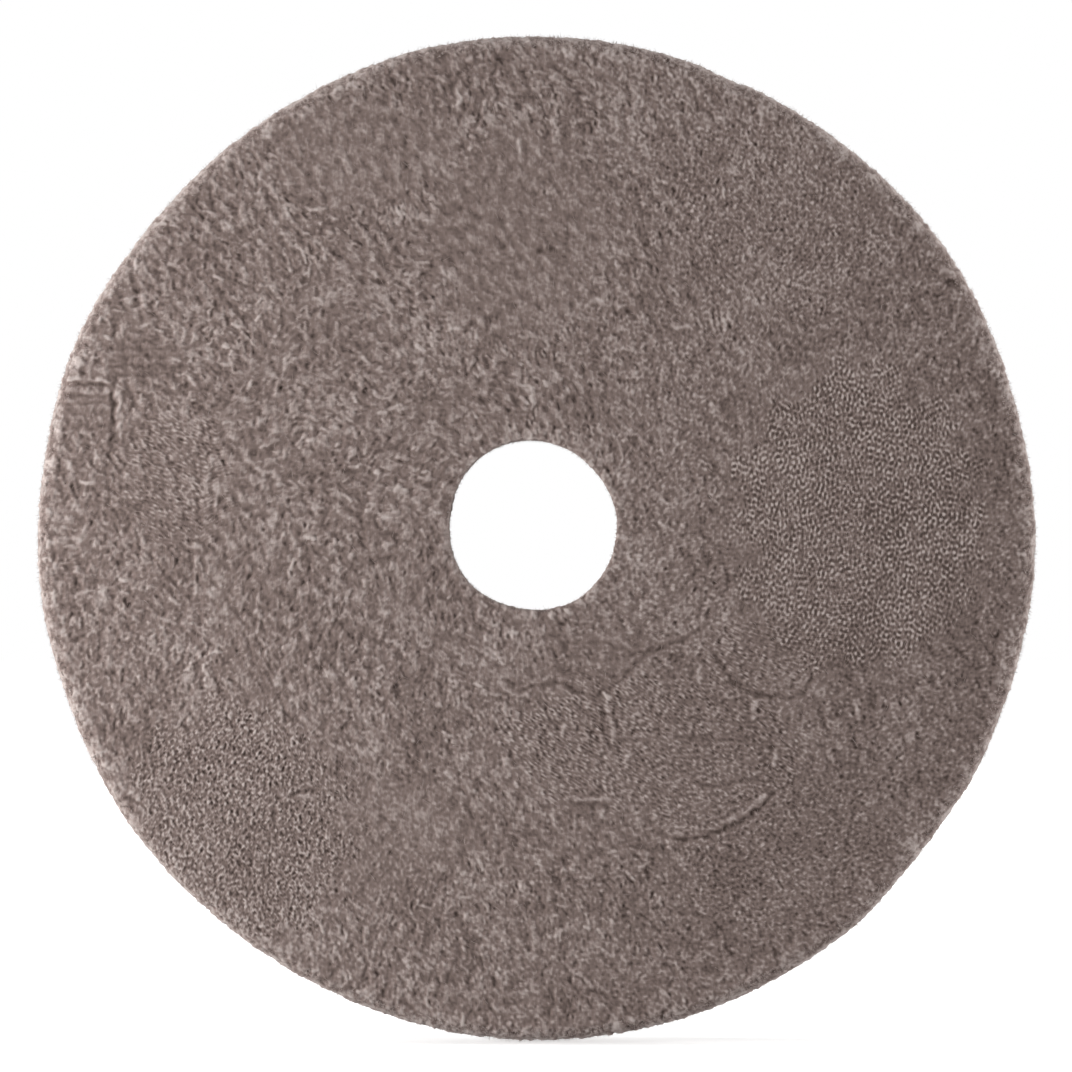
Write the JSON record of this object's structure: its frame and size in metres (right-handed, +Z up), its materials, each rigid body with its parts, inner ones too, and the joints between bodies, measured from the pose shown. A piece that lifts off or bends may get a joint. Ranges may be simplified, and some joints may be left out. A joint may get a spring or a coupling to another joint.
{
  "type": "felt polishing wheel",
  "caption": "Flat round polishing wheel of glued, hard-pressed felt plies with softened edges and a plain arbor bore through its centre.",
  "frame": {"origin": "middle of the bore, halfway through the wheel's thickness, which is the centre of its box", "axes": "+Y along the wheel's axis, from its front face to its back face, +Z up, +X to the right as seen from the front"},
  "size_m": [0.1524, 0.0126, 0.1524],
  "materials": {
    "felt": null,
    "bond_film": "satin"
  },
  "bodies": {
    "root": {"felt_ply_front": "felt", "bond_film_front": "bond_film", "felt_ply_second": "felt", "bond_film_middle": "bond_film", "felt_ply_third": "felt", "bond_film_back": "bond_film", "felt_ply_back": "felt"}
  },
  "joints": []
}
